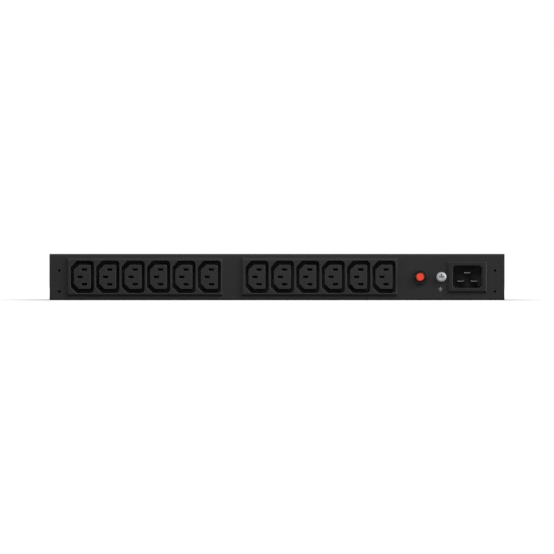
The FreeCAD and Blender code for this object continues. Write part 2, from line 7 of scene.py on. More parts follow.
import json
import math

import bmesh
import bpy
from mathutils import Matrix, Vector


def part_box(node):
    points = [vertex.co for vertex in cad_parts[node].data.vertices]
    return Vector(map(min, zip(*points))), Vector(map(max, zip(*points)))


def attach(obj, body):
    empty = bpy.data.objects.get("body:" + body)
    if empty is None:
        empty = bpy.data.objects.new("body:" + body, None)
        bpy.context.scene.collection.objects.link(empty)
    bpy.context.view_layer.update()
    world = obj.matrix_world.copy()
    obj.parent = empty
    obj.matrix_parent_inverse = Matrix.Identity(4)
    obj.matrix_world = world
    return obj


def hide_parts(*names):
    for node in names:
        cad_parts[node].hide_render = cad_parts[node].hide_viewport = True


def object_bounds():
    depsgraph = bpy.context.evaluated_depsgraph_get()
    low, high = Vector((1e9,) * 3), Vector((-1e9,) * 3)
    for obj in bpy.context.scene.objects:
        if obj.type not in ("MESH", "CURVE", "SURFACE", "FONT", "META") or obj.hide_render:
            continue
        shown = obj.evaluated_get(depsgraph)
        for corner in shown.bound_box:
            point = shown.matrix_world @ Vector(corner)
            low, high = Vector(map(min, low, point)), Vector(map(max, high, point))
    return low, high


bl_info = {
    "name": "Rack Power Unit",
    "version": (1, 0, 0),
    "blender": (4, 5, 0),
    "location": "View3D > Sidebar > Power Unit",
    "description": "Finishes, rounded edges, threads and print for a rack power distribution unit",
    "category": "Object",
}

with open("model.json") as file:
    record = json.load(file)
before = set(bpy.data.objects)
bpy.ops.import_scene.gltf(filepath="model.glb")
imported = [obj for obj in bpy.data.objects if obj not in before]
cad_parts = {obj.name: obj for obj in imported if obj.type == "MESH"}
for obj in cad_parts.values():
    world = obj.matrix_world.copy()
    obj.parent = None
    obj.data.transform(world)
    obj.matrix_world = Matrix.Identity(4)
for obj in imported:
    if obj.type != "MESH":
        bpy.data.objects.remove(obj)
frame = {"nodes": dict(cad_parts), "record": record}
cad_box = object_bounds()

MM = 0.001
CASE = "chassis"
BUTTON = "reset_button"
OUTLET_CORES = sorted(name for name in frame["nodes"] if name.startswith("outlet_core_"))

# Attribute that marks the roundings and toned slopes of a piece, where its finish paints a highlight (paler
# edge tone) or shade (deeper edge tone)
EDGE = "rounded_edge"
EDGE_STEPS = 2
MERGE_DISTANCE = 0.002 * MM
SAME_PLANE = math.radians(0.5)
SHARP_ANGLE = math.radians(28)
# A face is a slope if the share of its normal along Y lies between these
SLOPE_RANGE = (0.2, 0.8)

# Length of one straight wave or ring of a Wave texture at a scale of 1
WAVE_LENGTH = math.pi / 10
WHITE = (1.0, 1.0, 1.0, 1.0)


def linear(code):
    """Linear RGB of an sRGB hex colour."""
    values = [int(code[i:i + 2], 16) / 255 for i in (1, 3, 5)]
    return [v / 12.92 if v <= 0.04045 else ((v + 0.055) / 1.055) ** 2.4 for v in values]


def length(name, description, millimetres):
    """Setting that holds a length."""
    return bpy.props.FloatProperty(
        name=name, description=description, default=millimetres * MM, min=0.0, unit="LENGTH", precision=5,
    )


def colour(name, description, code):
    """Setting that holds a colour."""
    return bpy.props.FloatVectorProperty(
        name=name, description=description, subtype="COLOR", size=3, min=0.0, max=1.0, default=linear(code),
    )


def share(name, description, value):
    """Setting that holds a number from 0 to 1."""
    return bpy.props.FloatProperty(
        name=name, description=description, default=value, min=0.0, max=1.0, subtype="FACTOR",
    )


def position(name, description, millimetres):
    """Setting that holds a place, as its distances right, back and up."""
    return bpy.props.FloatVectorProperty(
        name=name, description=description, subtype="TRANSLATION", unit="LENGTH", size=3,
        default=[v * MM for v in millimetres],
    )


def power(name, description, watts):
    """Setting that holds a lamp's power."""
    return bpy.props.FloatProperty(
        name=name, description=description, default=watts, min=0.0, unit="POWER",
    )


class PowerUnitFinish(bpy.types.PropertyGroup):
    """Colours of the unit's materials."""

    coat: colour("Powder coat", "Black paint of the steel case", "#272728")
    nylon: colour("Outlet nylon", "Black plastic of the outlet blocks", "#252526")
    inlet: colour("Inlet nylon", "Black plastic of the mains inlet", "#1F1F20")
    button: colour("Button", "Red plastic of the reset button", "#CB402E")
    plating: colour("Black plating", "Black plating of the cover screws", "#1D1D1E")
    oxide: colour("Black oxide", "Blackened steel of the breaker's nut", "#201F20")
    # Nearly black: painted shade for the inside of the bracket holes
    tapped: colour("Tapped steel", "Oily steel of the threads in the bracket holes", "#0C0C0D")
    zinc: colour("Zinc", "Plating of the earth screw and its nut", "#979899")
    nickel: colour("Nickel", "Plating of the inlet's blades and the breaker's terminals", "#5E5C5A")
    # Kept dark: painted shade for the strips seen through the outlet slots
    brass: colour("Brass", "Bus strips behind the outlets", "#3A3126")
    tin: colour("Tin", "Plating of the ring lugs", "#B9B7B2")
    tray: colour("Tray nylon", "Plastic of the trays behind the outlets", "#3A3B3D")
    case: colour("Breaker case", "Phenolic case of the breaker", "#161617")
    boot: colour("Boot nylon", "Plastic of the push-on terminals", "#C3C5C4")
    line: colour("Line wire", "Insulation of the line wires", "#5A3218")
    neutral: colour("Neutral wire", "Insulation of the neutral wire", "#2B62A8")
    earth: colour("Earth wire", "Main colour of the earth wires", "#2F8B3A")
    stripe: colour("Earth stripe", "Stripe of the earth wires", "#D8C531")
    print_ink: colour("Print", "White ink of the earth mark", "#8E8E8E")


class PowerUnitDetail(bpy.types.PropertyGroup):
    """Sizes of the fine detail."""

    case_edge: length("Case edge", "Rounding of the painted sheet edges", 0.25)
    moulding_edge: length("Moulding edge", "Rounding of the plastic edges", 0.1)
    metal_edge: length("Metal edge", "Rounding of the screw, blade and breaker case edges", 0.08)
    nut_edge: length("Nut edge", "Rounding of the breaker nut's edges", 0.38)
    button_edge: length("Button edge", "Rounding of the button's bevelled edge", 0.46)
    thread_depth: length("Thread depth", "Depth of the tapped bracket holes, through the sheet", 1.2)
    thread_pitch: length("Thread pitch", "Pitch of the tapped bracket holes", 0.5)
    thread_ridge: length("Thread ridge", "Height of the thread ridge inside a bracket hole", 0.16)
    head_depth: length("Head depth", "Depth of a cover screw's countersunk head", 1.2)
    recess_width: length("Recess width", "Width of the cross recess in a cover screw", 0.75)
    recess_length: length("Recess length", "Length of the cross recess in a cover screw", 3.2)
    recess_depth: length("Recess depth", "Depth of the cross recess in a cover screw", 0.8)
    mark_drop: length("Mark drop", "Earth mark's widest bar below the middle of the earth screw", 11.2)
    mark_shift: length("Mark shift", "Earth mark to the left of the middle of the earth screw", 0.8)
    mark_width: length("Mark width", "Widest bar of the earth mark", 3.5)
    mark_stroke: length("Mark stroke", "Line width of the earth mark", 0.44)
    mark_step: length("Mark step", "Distance between the bars of the earth mark", 0.95)
    mark_stem: length("Mark stem", "Stem above the bars of the earth mark", 1.6)
    ink_film: length("Ink film", "Thickness of the printed ink", 0.03)


class PowerUnitStage(bpy.types.PropertyGroup):
    """Camera, lamps and floor. The softboxes' places are measured from the middle of the front."""

    camera_distance: length("Camera distance", "Camera to the front of the unit", 3000.0)
    picture_width: length("Picture width", "Width that the picture shows at the front of the unit", 527.0)
    key_place: position("Key place", "Key softbox, high to the right", (2600, -1300, 2600))
    key_size: length("Key size", "Side of the key softbox", 900.0)
    key_power: power("Key power", "Key softbox, which draws the edges", 122.0)
    front_place: position("Front place", "Front softbox, close above the unit", (20, -450, 310))
    front_size: length("Front size", "Side of the front softbox", 250.0)
    front_power: power("Front power", "Front softbox, which lights the middle of the panel", 1.9)
    eye_place: position("Eye place", "Eye softbox, beside the camera", (60, -2600, 90))
    eye_size: length("Eye size", "Side of the eye softbox", 400.0)
    eye_power: power("Eye power", "Eye softbox, which reaches into the grooves", 15.0)
    rim_place: position("Rim place", "Rim softbox, far to the right", (3400, -170, 500))
    rim_size: length("Rim size", "Side of the rim softbox", 1200.0)
    rim_power: power("Rim power", "Rim softbox, which lights the right-hand slopes", 145.0)
    side_place: position("Side place", "Side softbox, to the left", (-2400, -900, 700))
    side_size: length("Side size", "Side of the side softbox", 900.0)
    side_power: power("Side power", "Side softbox, which lights the left-hand slopes", 17.0)
    back_place: position("Back place", "Back softbox, behind the unit", (-1200, 2600, 1500))
    back_size: length("Back size", "Side of the back softbox", 900.0)
    back_power: power("Back power", "Back softbox, which lights the rear cover", 65.0)
    fill: share("Fill", "Light that comes evenly from all round", 0.17)
    floor: colour("Floor", "Colour of the floor", "#9A9A9A")
    floor_bounce: colour("Floor bounce", "Colour of the floor for light that it throws back up", "#4A4A4A")
    floor_reach: length("Floor reach", "Distance from the unit to the edge of the floor", 6000.0)
    # Over this distance the floor's glow rises from nothing, which paints a contact shade round the unit
    floor_touch: length("Floor touch", "Distance from the unit over which the floor's shade fades", 45.0)
    floor_white: share("Floor white", "Light that the floor adds near the unit to look white", 0.52)
    floor_near: length("Floor near", "Distance from the unit where the floor starts to turn white", 80.0)
    floor_far: length("Floor far", "Distance from the unit where the floor is all white", 500.0)


def add_node(tree, kind, inputs=None, **settings):
    """Adds a node, gives it its settings, and fills or links its inputs."""
    node = tree.nodes.new(kind)
    for name, value in settings.items():
        setattr(node, name, value)
    for key, value in (inputs or {}).items():
        socket = node.inputs[key]
        if isinstance(value, bpy.types.NodeSocket):
            tree.links.new(value, socket)
        elif isinstance(value, list) and isinstance(value[0], bpy.types.NodeSocket):
            for output in value:
                tree.links.new(output, socket)
        else:
            socket.default_value = value
    return node


def per(size):
    """Scale of a pattern whose features are this size."""
    return 1.0 / size


def paint(rgb, factor=1.0):
    """Colour socket value, made lighter or darker by a factor."""
    return [min(1.0, v * factor) for v in rgb] + [1.0]


def new_material(name):
    """Empty node material, with the coordinates that its patterns follow."""
    material = bpy.data.materials.new(name)
    material.use_nodes = True
    tree = material.node_tree
    tree.nodes.clear()
    place = add_node(tree, "ShaderNodeTexCoord").outputs["Object"]
    return material, tree, place


def close_material(tree, shader):
    """Joins the shader to the material's surface."""
    add_node(tree, "ShaderNodeOutputMaterial", {"Surface": shader.outputs["BSDF"]})


def coated_steel(rgb):
    """Sheet steel, powder coated matt black: a fine even grit over a soft orange peel, and rounded edges in
    a paler tone, partly edge wear and partly a painted highlight, so it takes light evenly and shows no
    mirror image."""
    material, tree, place = new_material("Powder-coated sheet steel")
    cloud_size = 30 * MM
    peel_size = 2.2 * MM
    # Drawn coarser than real grit, which is too fine to show
    grit_size = 0.45 * MM
    cloud = add_node(tree, "ShaderNodeTexNoise", {"Vector": place, "Scale": per(cloud_size), "Detail": 3.0})
    grit = add_node(tree, "ShaderNodeTexNoise", {"Vector": place, "Scale": per(grit_size), "Detail": 2.0})
    peel = add_node(tree, "ShaderNodeTexNoise", {"Vector": place, "Scale": per(peel_size), "Detail": 1.0})
    edge = add_node(tree, "ShaderNodeAttribute", attribute_name=EDGE)
    body = add_node(tree, "ShaderNodeMix", {
        "Factor": cloud.outputs["Fac"], "A": paint(rgb, 0.92), "B": paint(rgb, 1.08),
    }, data_type="RGBA")
    speck = add_node(tree, "ShaderNodeMapRange", {
        "Value": grit.outputs["Fac"], "From Min": 0.3, "From Max": 0.7, "To Min": 0.82, "To Max": 1.18,
    })
    speckled = add_node(tree, "ShaderNodeVectorMath", {
        0: body.outputs["Result"], "Scale": speck.outputs["Result"],
    }, operation="SCALE")
    # Paler rounded edges: a painted highlight, partly edge wear
    painted_edge_tone = add_node(tree, "ShaderNodeMix", {
        "Factor": edge.outputs["Fac"], "A": speckled.outputs["Vector"], "B": paint(rgb, 1.5),
    }, data_type="RGBA")
    rough = add_node(tree, "ShaderNodeMapRange", {
        "Value": grit.outputs["Fac"], "To Min": 0.56, "To Max": 0.72,
    })
    waves = add_node(tree, "ShaderNodeBump", {
        "Height": peel.outputs["Fac"], "Distance": 0.02 * MM, "Strength": 0.4,
    })
    relief = add_node(tree, "ShaderNodeBump", {
        "Height": grit.outputs["Fac"], "Distance": 0.06 * MM, "Strength": 0.6,
        "Normal": waves.outputs["Normal"],
    })
    shader = add_node(tree, "ShaderNodeBsdfPrincipled", {
        "Base Color": painted_edge_tone.outputs["Result"], "Roughness": rough.outputs["Result"],
        "Normal": relief.outputs["Normal"], "IOR": 1.5, "Specular IOR Level": 0.05,
    })
    close_material(tree, shader)
    return material


def moulded_plastic(name, rgb, roughness, grain, depth, shine, edge_tone=1.6):
    """Injection moulded plastic: slight flow clouds, a spark-eroded grain from the mould, and rounded edges
    in an edge tone: a paler tone than the faces is a painted highlight, a deeper one is painted shade. The
    grain is drawn coarser than the real one, so that it shows."""
    material, tree, place = new_material(name)
    flow_size = 12 * MM
    flow = add_node(tree, "ShaderNodeTexNoise", {"Vector": place, "Scale": per(flow_size), "Detail": 2.0})
    spark = add_node(tree, "ShaderNodeTexNoise", {"Vector": place, "Scale": per(grain), "Detail": 3.0})
    edge = add_node(tree, "ShaderNodeAttribute", attribute_name=EDGE)
    body = add_node(tree, "ShaderNodeMix", {
        "Factor": flow.outputs["Fac"], "A": paint(rgb, 0.93), "B": paint(rgb, 1.07),
    }, data_type="RGBA")
    speck = add_node(tree, "ShaderNodeMapRange", {
        "Value": spark.outputs["Fac"], "From Min": 0.3, "From Max": 0.7, "To Min": 0.9, "To Max": 1.1,
    })
    speckled = add_node(tree, "ShaderNodeVectorMath", {
        0: body.outputs["Result"], "Scale": speck.outputs["Result"],
    }, operation="SCALE")
    # Rounded edges in the edge tone: a paler tone paints a highlight, a deeper one paints shade
    painted_edge_tone = add_node(tree, "ShaderNodeMix", {
        "Factor": edge.outputs["Fac"], "A": speckled.outputs["Vector"], "B": paint(rgb, edge_tone),
    }, data_type="RGBA")
    rough = add_node(tree, "ShaderNodeMapRange", {
        "Value": spark.outputs["Fac"], "To Min": roughness - 0.07, "To Max": roughness + 0.07,
    })
    relief = add_node(tree, "ShaderNodeBump", {
        "Height": spark.outputs["Fac"], "Distance": depth, "Strength": 0.6,
    })
    shader = add_node(tree, "ShaderNodeBsdfPrincipled", {
        "Base Color": painted_edge_tone.outputs["Result"], "Roughness": rough.outputs["Result"],
        "Normal": relief.outputs["Normal"], "IOR": 1.53, "Specular IOR Level": shine,
    })
    close_material(tree, shader)
    return material


def plated_metal(name, rgb, roughness, streak, along, metallic=1.0, shine=0.5):
    """Plated or rolled metal: fine streaks along the way that it was rolled or drawn, and a slightly
    cloudy film, so that its highlights are long and broken. The streaks are drawn wider than the real
    ones, so that they show."""
    material, tree, place = new_material(name)
    film_size = 3 * MM
    streak_stretch = 25
    scales = [per(streak)] * 3
    scales[along] /= streak_stretch
    drawn = add_node(tree, "ShaderNodeMapping", {"Vector": place, "Scale": scales})
    lines = add_node(tree, "ShaderNodeTexNoise", {
        "Vector": drawn.outputs["Vector"], "Scale": 1.0, "Detail": 2.0,
    })
    film = add_node(tree, "ShaderNodeTexNoise", {"Vector": place, "Scale": per(film_size), "Detail": 3.0})
    tone = add_node(tree, "ShaderNodeMix", {
        "Factor": film.outputs["Fac"], "A": paint(rgb, 0.84), "B": paint(rgb, 1.1),
    }, data_type="RGBA")
    rough = add_node(tree, "ShaderNodeMapRange", {
        "Value": lines.outputs["Fac"], "To Min": roughness - 0.08, "To Max": roughness + 0.1,
    })
    relief = add_node(tree, "ShaderNodeBump", {
        "Height": lines.outputs["Fac"], "Distance": 0.02 * MM, "Strength": 0.35,
    })
    shader = add_node(tree, "ShaderNodeBsdfPrincipled", {
        "Base Color": tone.outputs["Result"], "Metallic": metallic, "Roughness": rough.outputs["Result"],
        "Normal": relief.outputs["Normal"], "Specular IOR Level": shine,
    })
    close_material(tree, shader)
    return material


def turned_zinc(rgb, centre):
    """Zinc-plated steel screw: rings from the header's die round the middle of its head, under a
    satin bluish plating with cloudy spots."""
    material, tree, place = new_material("Zinc-plated steel")
    # Drawn wider apart than a die's real rings, which are too fine to show
    ring_spacing = 0.45 * MM
    spot_size = 1.4 * MM
    middle = add_node(tree, "ShaderNodeMapping", {"Vector": place, "Location": [-v for v in centre]})
    rings = add_node(tree, "ShaderNodeTexWave", {
        "Vector": middle.outputs["Vector"], "Scale": WAVE_LENGTH / ring_spacing, "Distortion": 1.2,
    }, wave_type="RINGS", rings_direction="Y")
    spots = add_node(tree, "ShaderNodeTexNoise", {"Vector": place, "Scale": per(spot_size), "Detail": 4.0})
    tone = add_node(tree, "ShaderNodeMix", {
        "Factor": spots.outputs["Fac"], "A": paint(rgb, 0.72), "B": paint(rgb, 1.15),
    }, data_type="RGBA")
    rough = add_node(tree, "ShaderNodeMapRange", {
        "Value": spots.outputs["Fac"], "To Min": 0.6, "To Max": 0.72,
    })
    relief = add_node(tree, "ShaderNodeBump", {
        "Height": rings.outputs["Fac"], "Distance": 0.02 * MM, "Strength": 0.3,
    })
    shader = add_node(tree, "ShaderNodeBsdfPrincipled", {
        "Base Color": tone.outputs["Result"], "Metallic": 1.0, "Roughness": rough.outputs["Result"],
        "Normal": relief.outputs["Normal"],
    })
    close_material(tree, shader)
    return material


def wire_insulation(name, rgb, stripe=None):
    """Extruded PVC: a soft satin skin with faint clouds, and slanting stripes on an earth wire."""
    material, tree, place = new_material(name)
    skin_size = 1.5 * MM
    # Spacing along a wire, where a diagonal wave is twice as long as a straight one
    stripe_spacing = 12 * MM
    skin = add_node(tree, "ShaderNodeTexNoise", {"Vector": place, "Scale": per(skin_size), "Detail": 2.0})
    body = add_node(tree, "ShaderNodeMix", {
        "Factor": skin.outputs["Fac"], "A": paint(rgb, 0.9), "B": paint(rgb, 1.1),
    }, data_type="RGBA")
    if stripe is not None:
        bands = add_node(tree, "ShaderNodeTexWave", {
            "Vector": place, "Scale": 2 * WAVE_LENGTH / stripe_spacing,
        }, wave_type="BANDS", bands_direction="DIAGONAL")
        cut = add_node(tree, "ShaderNodeMath", {0: bands.outputs["Fac"], 1: 0.6}, operation="GREATER_THAN")
        body = add_node(tree, "ShaderNodeMix", {
            "Factor": cut.outputs["Value"], "A": body.outputs["Result"], "B": paint(stripe),
        }, data_type="RGBA")
    rough = add_node(tree, "ShaderNodeMapRange", {
        "Value": skin.outputs["Fac"], "To Min": 0.4, "To Max": 0.55,
    })
    shader = add_node(tree, "ShaderNodeBsdfPrincipled", {
        "Base Color": body.outputs["Result"], "Roughness": rough.outputs["Result"], "IOR": 1.53,
    })
    close_material(tree, shader)
    return material


def printed_ink(rgb):
    """Pad-printed white ink: a thin dull film that lets a little of the black through."""
    material, tree, place = new_material("White pad-print ink")
    # Drawn coarser than the real grain of a print, which is too fine to show
    grain_size = 0.3 * MM
    grain = add_node(tree, "ShaderNodeTexNoise", {"Vector": place, "Scale": per(grain_size), "Detail": 2.0})
    tone = add_node(tree, "ShaderNodeMix", {
        "Factor": grain.outputs["Fac"], "A": paint(rgb, 0.75), "B": paint(rgb, 1.05),
    }, data_type="RGBA")
    shader = add_node(tree, "ShaderNodeBsdfPrincipled", {
        "Base Color": tone.outputs["Result"], "Roughness": 0.7, "IOR": 1.5,
    })
    close_material(tree, shader)
    return material


def rounded_piece(node, piece, width, material, body=CASE, toned_slopes=False):
    """Copy of a fixed part with its sharp outer edges rounded, which stands for that part. The roundings
    take the edge tone of its finish, a painted highlight where that tone is paler and painted shade where
    it is deeper, and so do the slopes between its front and its sides if asked."""
    work = bmesh.new()
    work.from_mesh(frame["nodes"][node].data)
    bmesh.ops.remove_doubles(work, verts=work.verts, dist=MERGE_DISTANCE)
    bmesh.ops.dissolve_limit(work, angle_limit=SAME_PLANE, verts=work.verts, edges=work.edges)
    mark = work.faces.layers.float.new(EDGE)
    if toned_slopes:
        least, most = SLOPE_RANGE
        for face in work.faces:
            face[mark] = float(least < abs(face.normal.y) < most)
    sharp = [e for e in work.edges if e.is_convex and e.calc_face_angle() > SHARP_ANGLE]
    rounded = bmesh.ops.bevel(
        work, geom=sharp, offset=width, offset_type="OFFSET", segments=EDGE_STEPS, profile=0.5,
        affect="EDGES", clamp_overlap=False, loop_slide=False,
    )
    for face in rounded["faces"]:
        face[mark] = 1.0
    for face in work.faces:
        face.smooth = True
    mesh = bpy.data.meshes.new(piece)
    work.to_mesh(mesh)
    work.free()
    mesh.materials.append(material)
    made = bpy.data.objects.new(piece, mesh)
    bpy.context.scene.collection.objects.link(made)
    made.modifiers.new("Flat faces", "WEIGHTED_NORMAL")
    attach(made, body)
    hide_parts(node)
    return made


def dress(node, material):
    """Gives a fixed part its finish."""
    slots = frame["nodes"][node].data.materials
    slots.clear()
    slots.append(material)


def new_growth(name, sizes):
    """Empty geometry tree that grows a mesh from points, with named sizes and a finish as its inputs."""
    tree = bpy.data.node_groups.new(name, "GeometryNodeTree")
    tree.interface.new_socket("Points", in_out="INPUT", socket_type="NodeSocketGeometry")
    for size in sizes:
        tree.interface.new_socket(size, in_out="INPUT", socket_type="NodeSocketFloat")
    tree.interface.new_socket("Finish", in_out="INPUT", socket_type="NodeSocketMaterial")
    tree.interface.new_socket("Mesh", in_out="OUTPUT", socket_type="NodeSocketGeometry")
    return tree, add_node(tree, "NodeGroupInput").outputs


def close_growth(tree, given, shape):
    """Puts the shape on every point, as a real mesh with its finish."""
    copies = add_node(tree, "GeometryNodeInstanceOnPoints", {"Points": given["Points"], "Instance": shape})
    real = add_node(tree, "GeometryNodeRealizeInstances", {"Geometry": copies.outputs["Instances"]})
    finished = add_node(tree, "GeometryNodeSetMaterial", {
        "Geometry": real.outputs["Geometry"], "Material": given["Finish"],
    })
    add_node(tree, "NodeGroupOutput", {"Mesh": finished.outputs["Geometry"]})


def grown_piece(piece, tree, points, values, body=CASE):
    """Plain mesh that a geometry tree grows from points, riding on a body."""
    seed = bpy.data.meshes.new(piece)
    seed.from_pydata(points, [], [])
    made = bpy.data.objects.new(piece, seed)
    bpy.context.scene.collection.objects.link(made)
    growth = made.modifiers.new("Growth", "NODES")
    growth.node_group = tree
    for item in tree.interface.items_tree:
        if item.name in values:
            growth[item.identifier] = values[item.name]
    graph = bpy.context.evaluated_depsgraph_get()
    mesh = bpy.data.meshes.new_from_object(made.evaluated_get(graph))
    made.modifiers.remove(growth)
    made.data = mesh
    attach(made, body)
    return made


def thread_tree():
    """Ridge of a tapped thread, wound along +Y from the mouth of each hole."""
    tree, given = new_growth("Tapped thread", ("Bore radius", "Pitch", "Ridge", "Depth"))
    turn_steps = 28
    ridge_sides = 3
    rise = add_node(tree, "ShaderNodeMath", {0: given["Depth"], 1: given["Pitch"]}, operation="SUBTRACT")
    turns = add_node(tree, "ShaderNodeMath", {0: rise.outputs[0], 1: given["Pitch"]}, operation="DIVIDE")
    half_pitch = add_node(tree, "ShaderNodeMath", {0: given["Pitch"], 1: 0.5}, operation="MULTIPLY")
    start = add_node(tree, "ShaderNodeCombineXYZ", {"Y": half_pitch.outputs[0]})
    helix = add_node(tree, "GeometryNodeCurveSpiral", {
        "Resolution": turn_steps, "Rotations": turns.outputs[0], "Start Radius": given["Bore radius"],
        "End Radius": given["Bore radius"], "Height": rise.outputs[0],
    })
    crest = add_node(tree, "GeometryNodeCurvePrimitiveCircle", {
        "Resolution": ridge_sides, "Radius": given["Ridge"],
    })
    ridge = add_node(tree, "GeometryNodeCurveToMesh", {
        "Curve": helix.outputs["Curve"], "Profile Curve": crest.outputs["Curve"], "Fill Caps": True,
    })
    laid = add_node(tree, "GeometryNodeTransform", {
        "Geometry": ridge.outputs["Mesh"], "Translation": start.outputs["Vector"],
        "Rotation": (-math.pi / 2, 0.0, 0.0),
    })
    close_growth(tree, given, laid.outputs["Geometry"])
    return tree


def cover_screw_tree():
    """Countersunk screw with a cross recess, standing head down on each point."""
    tree, given = new_growth("Cross-recess screw", (
        "Head radius", "Shank radius", "Head depth", "Length",
        "Recess width", "Recess length", "Recess depth",
    ))
    round_steps = 64
    head = add_node(tree, "GeometryNodeMeshCone", {
        "Vertices": round_steps, "Radius Top": given["Shank radius"],
        "Radius Bottom": given["Head radius"], "Depth": given["Head depth"],
    })
    half = add_node(tree, "ShaderNodeMath", {0: given["Length"], 1: 0.5}, operation="MULTIPLY")
    lift = add_node(tree, "ShaderNodeCombineXYZ", {"Z": half.outputs[0]})
    stem = add_node(tree, "GeometryNodeMeshCylinder", {
        "Vertices": round_steps, "Radius": given["Shank radius"], "Depth": given["Length"],
    })
    shank = add_node(tree, "GeometryNodeTransform", {
        "Geometry": stem.outputs["Mesh"], "Translation": lift.outputs["Vector"],
    })
    blank = add_node(tree, "GeometryNodeMeshBoolean", {
        "Mesh 2": [head.outputs["Mesh"], shank.outputs["Geometry"]],
    }, operation="UNION", solver="MANIFOLD")
    both_sides = add_node(tree, "ShaderNodeMath", {0: given["Recess depth"], 1: 2.0}, operation="MULTIPLY")
    wings = []
    for x, y in (("Recess width", "Recess length"), ("Recess length", "Recess width")):
        size = add_node(tree, "ShaderNodeCombineXYZ", {
            "X": given[x], "Y": given[y], "Z": both_sides.outputs[0],
        })
        wing = add_node(tree, "GeometryNodeMeshCube", {"Size": size.outputs["Vector"]})
        wings.append(wing.outputs["Mesh"])
    screw = add_node(tree, "GeometryNodeMeshBoolean", {
        "Mesh 1": blank.outputs["Mesh"], "Mesh 2": wings,
    }, operation="DIFFERENCE", solver="MANIFOLD")
    close_growth(tree, given, screw.outputs["Mesh"])
    return tree


def earth_mark_tree():
    """Earth mark on each point: three bars, each shorter than the one above, under a stem."""
    tree, given = new_growth("Earth mark", ("Widest bar", "Stroke", "Step", "Stem", "Film"))
    bar_count = 3
    bar_size = add_node(tree, "ShaderNodeCombineXYZ", {
        "X": given["Widest bar"], "Y": given["Film"], "Z": given["Stroke"],
    })
    bar = add_node(tree, "GeometryNodeMeshCube", {"Size": bar_size.outputs["Vector"]})
    fall = add_node(tree, "ShaderNodeMath", {0: given["Step"], 1: -1.0}, operation="MULTIPLY")
    next_bar = add_node(tree, "ShaderNodeCombineXYZ", {"Z": fall.outputs[0]})
    ladder = add_node(tree, "GeometryNodeMeshLine", {
        "Count": bar_count, "Offset": next_bar.outputs["Vector"],
    })
    number = add_node(tree, "GeometryNodeInputIndex")
    shrink = add_node(tree, "ShaderNodeMath", {
        0: number.outputs[0], 1: -1.0 / bar_count, 2: 1.0,
    }, operation="MULTIPLY_ADD")
    scale = add_node(tree, "ShaderNodeCombineXYZ", {"X": shrink.outputs[0], "Y": 1.0, "Z": 1.0})
    bars = add_node(tree, "GeometryNodeInstanceOnPoints", {
        "Points": ladder.outputs["Mesh"], "Instance": bar.outputs["Mesh"], "Scale": scale.outputs["Vector"],
    })
    stem_size = add_node(tree, "ShaderNodeCombineXYZ", {
        "X": given["Stroke"], "Y": given["Film"], "Z": given["Stem"],
    })
    stem = add_node(tree, "GeometryNodeMeshCube", {"Size": stem_size.outputs["Vector"]})
    reach = add_node(tree, "ShaderNodeMath", {0: given["Stem"], 1: given["Stroke"]}, operation="ADD")
    half = add_node(tree, "ShaderNodeMath", {0: reach.outputs[0], 1: 0.5}, operation="MULTIPLY")
    lift = add_node(tree, "ShaderNodeCombineXYZ", {"Z": half.outputs[0]})
    raised = add_node(tree, "GeometryNodeTransform", {
        "Geometry": stem.outputs["Mesh"], "Translation": lift.outputs["Vector"],
    })
    mark = add_node(tree, "GeometryNodeJoinGeometry", {
        "Geometry": [bars.outputs["Instances"], raised.outputs["Geometry"]],
    })
    close_growth(tree, given, mark.outputs["Geometry"])
    return tree


def mount(name):
    """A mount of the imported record."""
    return next(m for m in frame["record"]["mounts"] if m["name"] == name)


class POWERUNIT_OT_case(bpy.types.Operator):
    """Rounds the sheet edges of the case and gives it its powder coat"""

    bl_idname = "power_unit.case"
    bl_label = "Case"

    def execute(self, context):
        width = context.scene.power_unit_detail.case_edge
        coat = coated_steel(context.scene.power_unit_finish.coat)
        rounded_piece("chassis_channel", "front_channel", width, coat)
        rounded_piece("rear_cover", "rear_cover_shell", width, coat)
        return {"FINISHED"}


class POWERUNIT_OT_bracket_holes(bpy.types.Operator):
    """Taps the bracket holes in the front"""

    bl_idname = "power_unit.bracket_holes"
    bl_label = "Bracket holes"

    def execute(self, context):
        finish = context.scene.power_unit_finish
        detail = context.scene.power_unit_detail
        holes = mount("bracket_holes")
        across = holes["dims"]["spacing_x_mm"] / 2 * MM
        up = holes["dims"]["spacing_y_mm"] / 2 * MM
        x, y, z = holes["pos_m"]
        points = [(x + i * across, y, z + j * up) for i in (-1, 1) for j in (-1, 1)]
        # Cut thread, nearly black as painted shade for the inside of the hole, with a dull glint on its
        # ridges
        steel = plated_metal(
            "Blackened tapped steel", finish.tapped, roughness=0.6, streak=0.2 * MM, along=1,
            metallic=0.2, shine=0.05,
        )
        threads = grown_piece("bracket_hole_threads", thread_tree(), points, {
            "Bore radius": holes["dims"]["hole_r_mm"] * MM, "Pitch": detail.thread_pitch,
            "Ridge": detail.thread_ridge, "Depth": detail.thread_depth, "Finish": steel,
        })
        return {"FINISHED"}


class POWERUNIT_OT_cover_screws(bpy.types.Operator):
    """Puts cross-recess screws in the underside"""

    bl_idname = "power_unit.cover_screws"
    bl_label = "Cover screws"

    def execute(self, context):
        detail = context.scene.power_unit_detail
        low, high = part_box("cover_screws")
        head_radius = (high.y - low.y) / 2
        row = (low.y + high.y) / 2
        points = [(x, row, low.z) for x in (low.x + head_radius, high.x - head_radius)]
        # Black zinc on steel: dark, smooth and a little shinier than the paint round it
        black = plated_metal(
            "Black-plated steel", context.scene.power_unit_finish.plating, roughness=0.42,
            streak=0.25 * MM, along=2, metallic=0.3, shine=0.2,
        )
        screws = grown_piece("cover_screws_cross_recess", cover_screw_tree(), points, {
            "Head radius": head_radius, "Shank radius": head_radius - detail.head_depth,
            "Head depth": detail.head_depth, "Length": high.z - low.z,
            "Recess width": detail.recess_width, "Recess length": detail.recess_length,
            "Recess depth": detail.recess_depth, "Finish": black,
        })
        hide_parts("cover_screws")
        return {"FINISHED"}


